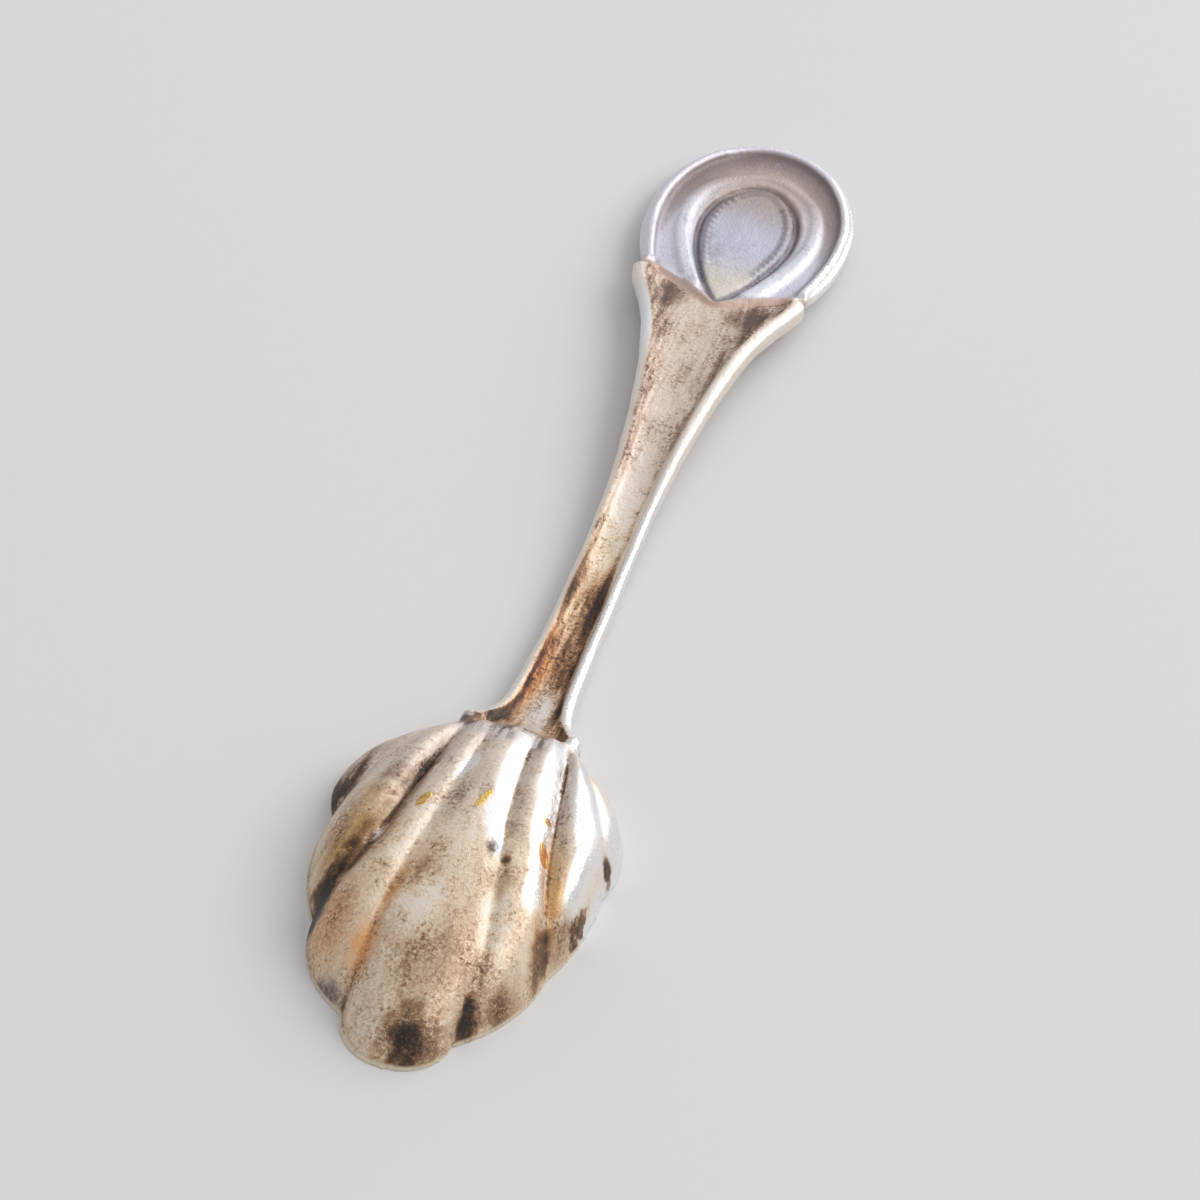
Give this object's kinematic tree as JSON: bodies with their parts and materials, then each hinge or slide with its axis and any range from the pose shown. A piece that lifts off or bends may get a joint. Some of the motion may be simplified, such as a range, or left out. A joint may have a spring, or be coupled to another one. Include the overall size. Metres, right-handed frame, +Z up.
{
  "type": "salt spoon",
  "caption": "Small silver-plated salt spoon with a fluted shell bowl, threaded fiddle handle and oval terminal, tarnished, lying face down.",
  "frame": {"origin": "on the table under the middle of the spoon, the spoon lying face down", "axes": "+Y from the tip of the bowl to the far end of the handle, +X across to the right seen from the bowl, +Z up through the back"},
  "size_m": [0.0158, 0.077, 0.0049],
  "materials": {
    "silver": "tarnished silver plate, worn satin with brown and black spots"
  },
  "bodies": {
    "root": {"salt_spoon": "silver"}
  },
  "joints": []
}
